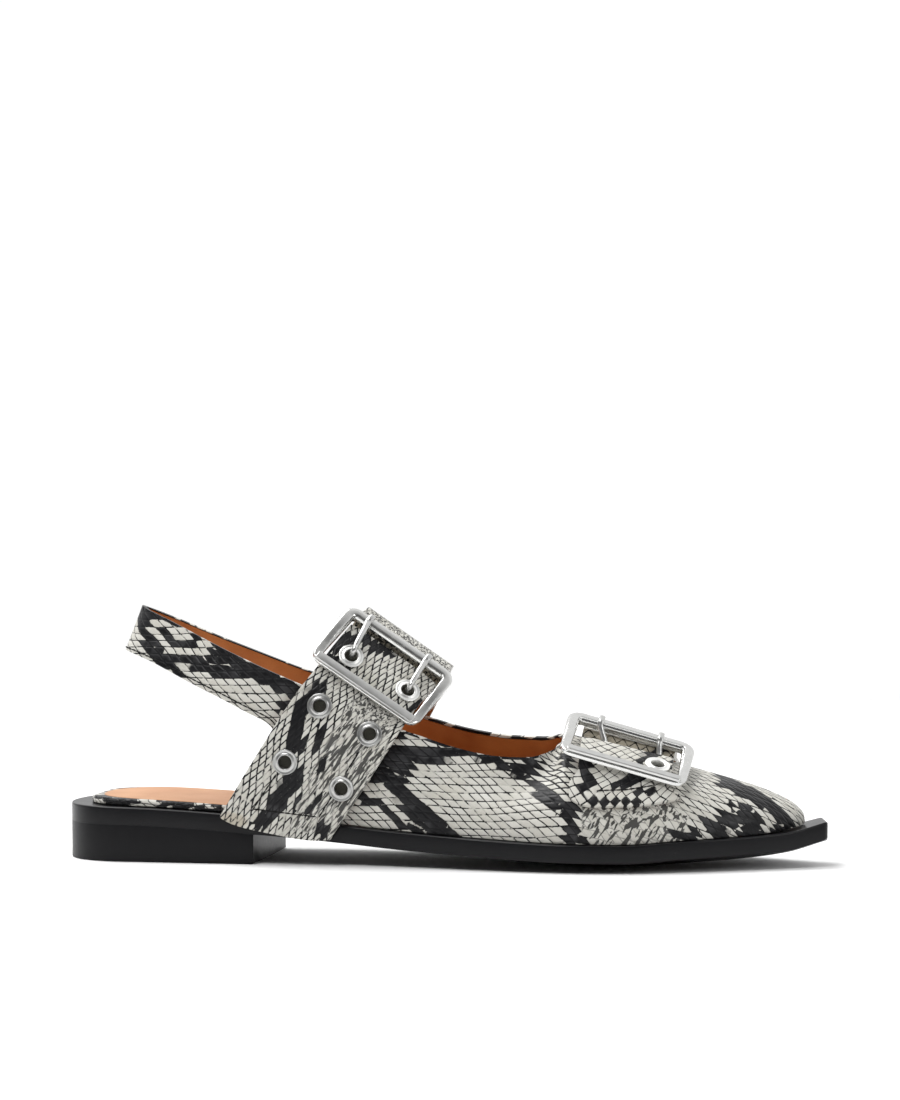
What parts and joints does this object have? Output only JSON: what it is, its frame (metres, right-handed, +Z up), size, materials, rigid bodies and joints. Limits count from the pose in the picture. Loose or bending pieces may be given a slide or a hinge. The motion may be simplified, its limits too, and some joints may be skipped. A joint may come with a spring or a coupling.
{
  "type": "pointed toe slingback flat with buckled straps",
  "caption": "Pointed toe slingback flat for the right foot in snake print leather, with a low block heel, a buckled instep strap and a buckled toe strap, resting on its sole.",
  "frame": {"origin": "on the floor, under the middle of the shoe's box", "axes": "+X along the shoe to the toe, +Y to the inner (medial) side, +Z up"},
  "size_m": [0.276, 0.078, 0.0914],
  "materials": {
    "snake_print_leather": "glossy embossed snake print, grey with black",
    "black_sole": "satin black",
    "tan_leather": "smooth tan leather",
    "polished_nickel": "polished"
  },
  "bodies": {
    "root": {"outsole": "black_sole", "heel": "black_sole", "insole": "tan_leather", "upper": "snake_print_leather", "instep_strap_lateral": "snake_print_leather", "instep_strap_medial": "snake_print_leather", "toe_strap_lateral": "snake_print_leather", "toe_strap_medial": "snake_print_leather", "instep_buckle_frame": "polished_nickel", "instep_buckle_plate": "polished_nickel", "toe_buckle_frame": "polished_nickel", "toe_buckle_plate": "polished_nickel", "instep_prong_rear": "polished_nickel", "instep_prong_front": "polished_nickel", "toe_prong_rear": "polished_nickel", "toe_prong_front": "polished_nickel", "instep_eyelet_1": "polished_nickel", "instep_eyelet_2": "polished_nickel", "instep_eyelet_3": "polished_nickel", "instep_eyelet_4": "polished_nickel", "instep_eyelet_5": "polished_nickel", "instep_eyelet_6": "polished_nickel", "toe_eyelet": "polished_nickel"}
  },
  "joints": []
}
